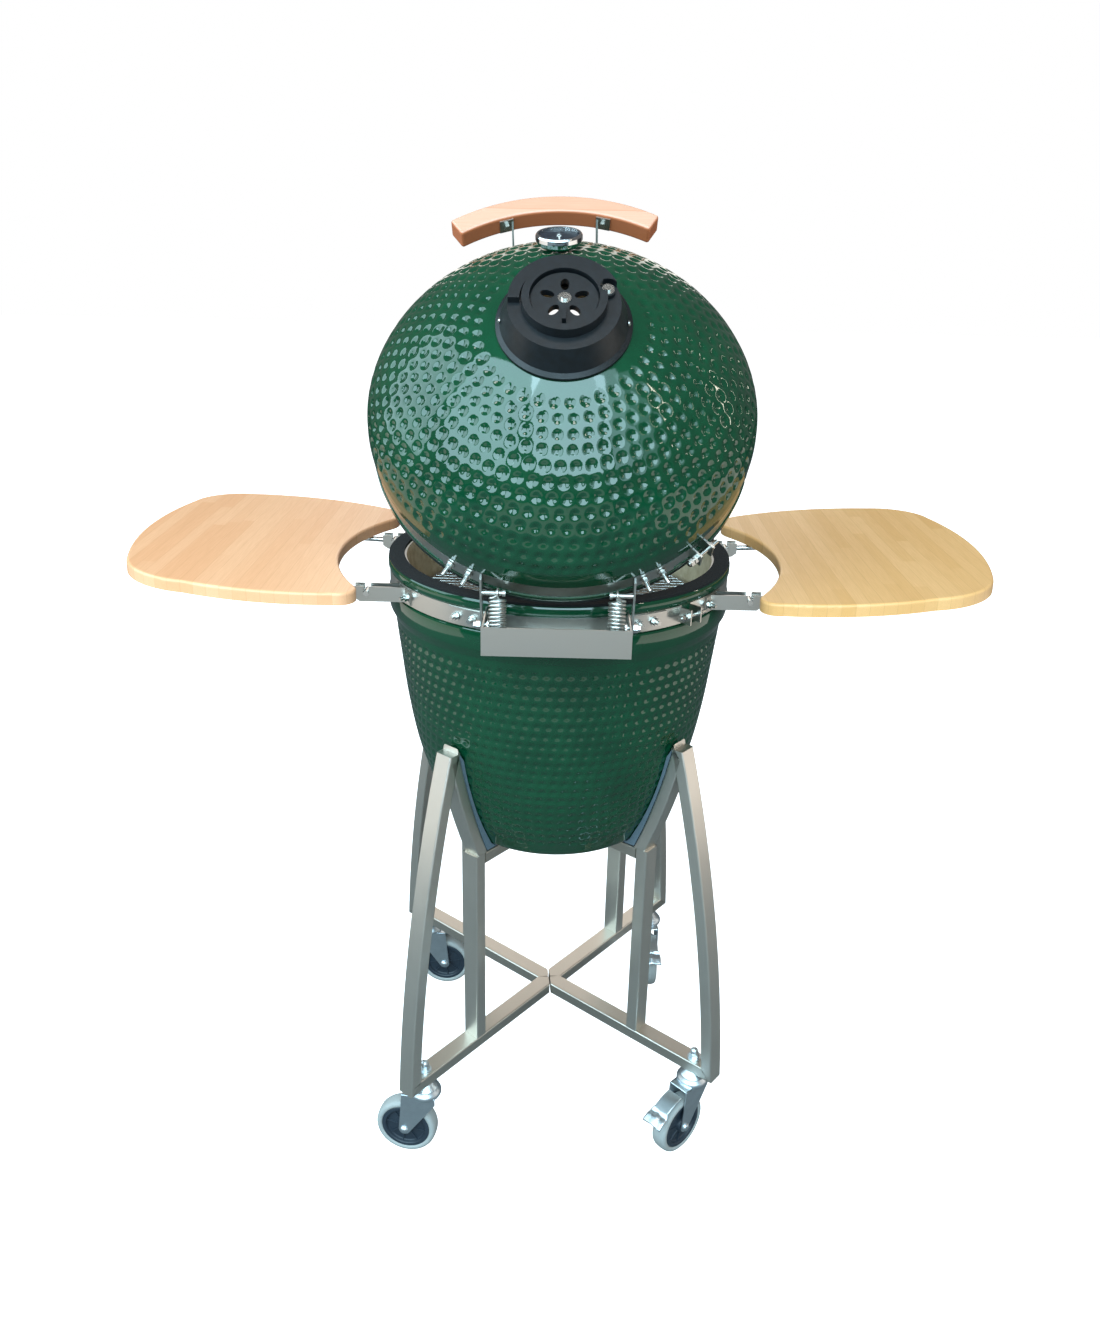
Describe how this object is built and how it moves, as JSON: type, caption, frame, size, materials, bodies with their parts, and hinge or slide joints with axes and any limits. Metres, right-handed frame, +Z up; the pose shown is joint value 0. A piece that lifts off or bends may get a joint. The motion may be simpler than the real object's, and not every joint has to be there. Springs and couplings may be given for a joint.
{
  "type": "kamado ceramic grill",
  "caption": "Kamado ceramic grill with hinged dimpled lid, vents, fold-down wooden shelves and a wheeled steel stand.",
  "frame": {"origin": "on the floor, on the axis of the ceramic base", "axes": "+Z up; +Y from the draft door towards the lid's hinge; +X towards the left of someone who faces the hinge"},
  "size_m": [1.2898, 0.6382, 1.4574],
  "materials": {
    "green_glaze": "dimpled glossy dark green glaze, cream unglazed ceramic inside",
    "cream_ceramic": "matte cream ceramic",
    "felt": "black woven gasket",
    "grid_steel": "bare stainless rods",
    "grate_iron": "rough cast iron",
    "band_steel": "brushed stainless sheet",
    "bolt_steel": "bright stainless fasteners",
    "spring_steel": "drawn spring wire",
    "rod_steel": "bright plated rod",
    "bamboo": "oiled laminated bamboo",
    "chrome_case": "polished chrome",
    "dial_face": "white printed dial",
    "needle_paint": "black enamel",
    "lens_glass": "clear glass",
    "black_iron": "satin black enamelled cast iron",
    "stand_steel": "brushed stainless tube",
    "woven_pad": "blue-grey woven strip",
    "zinc": "bright zinc plate",
    "hub_plastic": "dark navy plastic",
    "grey_tyre": "light grey non-marking rubber"
  },
  "bodies": {
    "grill": {"base_shell": "green_glaze", "base_gasket": "felt", "fire_bowl": "cream_ceramic", "fire_ring": "cream_ceramic", "charcoal_grate": "grate_iron", "cooking_grid": "grid_steel", "draft_frame": "band_steel", "base_band": "band_steel", "base_band_bolts": "bolt_steel", "hinge_box": "band_steel", "hinge_pins": "bolt_steel", "lid_springs": "spring_steel", "shelf_brackets": "band_steel", "shelf_bracket_bolts": "bolt_steel", "outer_legs": "stand_steel", "cradle_struts": "stand_steel", "inner_posts": "stand_steel", "lower_bars": "stand_steel", "upper_bars": "stand_steel", "cradle_pads": "woven_pad", "caster_stems": "zinc"},
    "lid": {"hinge_arms": "band_steel", "lid_shell": "green_glaze", "lid_gasket": "felt", "lid_band": "band_steel", "lid_band_bolts": "bolt_steel", "handle_brackets": "band_steel", "lid_handle": "bamboo", "handle_bolts": "bolt_steel", "thermometer_case": "chrome_case", "thermometer_dial": "dial_face", "thermometer_lens": "lens_glass", "vent_housing": "black_iron", "vent_pivot_screw": "bolt_steel"},
    "needle": {"thermometer_needle": "needle_paint"},
    "vent_disc": {"vent_disc": "black_iron", "daisy_screw": "bolt_steel"},
    "daisy_wheel": {"daisy_wheel": "black_iron"},
    "draft_door": {"draft_door": "band_steel"},
    "draft_screen": {"draft_screen": "band_steel"},
    "shelf_left": {"shelf_left": "bamboo", "shelf_rails_left": "rod_steel"},
    "shelf_right": {"shelf_right": "bamboo", "shelf_rails_right": "rod_steel"},
    "caster_near_left": {"caster_fork_near_left": "zinc"},
    "wheel_near_left": {"caster_hub_near_left": "hub_plastic", "caster_tyre_near_left": "grey_tyre"},
    "caster_near_right": {"caster_fork_near_right": "zinc"},
    "wheel_near_right": {"caster_hub_near_right": "hub_plastic", "caster_tyre_near_right": "grey_tyre"},
    "brake_near_right": {"brake_pedal_near_right": "zinc"},
    "caster_far_right": {"caster_fork_far_right": "zinc"},
    "wheel_far_right": {"caster_hub_far_right": "hub_plastic", "caster_tyre_far_right": "grey_tyre"},
    "brake_far_right": {"brake_pedal_far_right": "zinc"},
    "caster_far_left": {"caster_fork_far_left": "zinc"},
    "wheel_far_left": {"caster_hub_far_left": "hub_plastic", "caster_tyre_far_left": "grey_tyre"}
  },
  "joints": [
    {"name": "lid_hinge", "type": "hinge", "parent": "grill", "child": "lid", "pos_m": [0, 0.279, 0.939], "axis": [-1, 0, 0], "range_deg": [-44, 0], "stiffness_Nm_per_rad": 42, "springref_deg": 36.67, "deforming": ["lid_springs"]},
    {"name": "needle_turn", "type": "hinge", "parent": "lid", "child": "needle", "pos_m": [0.00895, 0.12258, 1.39556], "axis": [0.0278, 0.2762, 0.9607], "range_deg": [-250, 0]},
    {"name": "vent_swing", "type": "hinge", "parent": "lid", "child": "vent_disc", "pos_m": [-0.05, 0.26405, 1.34963], "axis": [0, 0.6947, 0.7193], "range_deg": [0, 70]},
    {"name": "daisy_turn", "type": "hinge", "parent": "vent_disc", "child": "daisy_wheel", "pos_m": [0, 0.28045, 1.34214], "axis": [0, 0.6947, 0.7193], "range_deg": [-36, 36]},
    {"name": "door_slide", "type": "slide", "parent": "grill", "child": "draft_door", "axis": [1, 0, 0], "range_m": [-0.066, 0.066]},
    {"name": "screen_slide", "type": "slide", "parent": "grill", "child": "draft_screen", "axis": [1, 0, 0], "range_m": [-0.066, 0.066]},
    {"name": "left_shelf_fold", "type": "hinge", "parent": "grill", "child": "shelf_left", "pos_m": [0.272, 0, 0.931], "axis": [0, 1, 0], "range_deg": [0, 92]},
    {"name": "right_shelf_fold", "type": "hinge", "parent": "grill", "child": "shelf_right", "pos_m": [-0.272, 0, 0.931], "axis": [0, -1, 0], "range_deg": [0, 92]},
    {"name": "swivel_near_left", "type": "hinge", "parent": "grill", "child": "caster_near_left", "pos_m": [0.19446, 0.24014, 0.122], "axis": [0, 0, 1], "continuous": true},
    {"name": "spin_near_left", "type": "hinge", "parent": "caster_near_left", "child": "wheel_near_left", "pos_m": [0.22597, 0.23458, 0.05], "axis": [0.1736, 0.9848, 0], "continuous": true},
    {"name": "swivel_near_right", "type": "hinge", "parent": "grill", "child": "caster_near_right", "pos_m": [-0.24014, 0.19446, 0.122], "axis": [0, 0, 1], "continuous": true},
    {"name": "spin_near_right", "type": "hinge", "parent": "caster_near_right", "child": "wheel_near_right", "pos_m": [-0.21751, 0.21709, 0.05], "axis": [-0.7071, 0.7071, 0], "continuous": true},
    {"name": "brake_near_right_press", "type": "hinge", "parent": "caster_near_right", "child": "brake_near_right", "pos_m": [-0.21044, 0.22416, 0.113], "axis": [-0.7071, 0.7071, 0], "range_deg": [0, 9]},
    {"name": "swivel_far_right", "type": "hinge", "parent": "grill", "child": "caster_far_right", "pos_m": [-0.19446, -0.24014, 0.122], "axis": [0, 0, 1], "continuous": true},
    {"name": "spin_far_right", "type": "hinge", "parent": "caster_far_right", "child": "wheel_far_right", "pos_m": [-0.19614, -0.20818, 0.05], "axis": [-0.9986, -0.0523, 0], "continuous": true},
    {"name": "brake_far_right_press", "type": "hinge", "parent": "caster_far_right", "child": "brake_far_right", "pos_m": [-0.19666, -0.1982, 0.113], "axis": [-0.9986, -0.0523, 0], "range_deg": [0, 9]},
    {"name": "swivel_far_left", "type": "hinge", "parent": "grill", "child": "caster_far_left", "pos_m": [0.24014, -0.19446, 0.122], "axis": [0, 0, 1], "continuous": true},
    {"name": "spin_far_left", "type": "hinge", "parent": "caster_far_left", "child": "wheel_far_left", "pos_m": [0.20822, -0.19223, 0.05], "axis": [-0.0698, -0.9976, 0], "continuous": true}
  ]
}
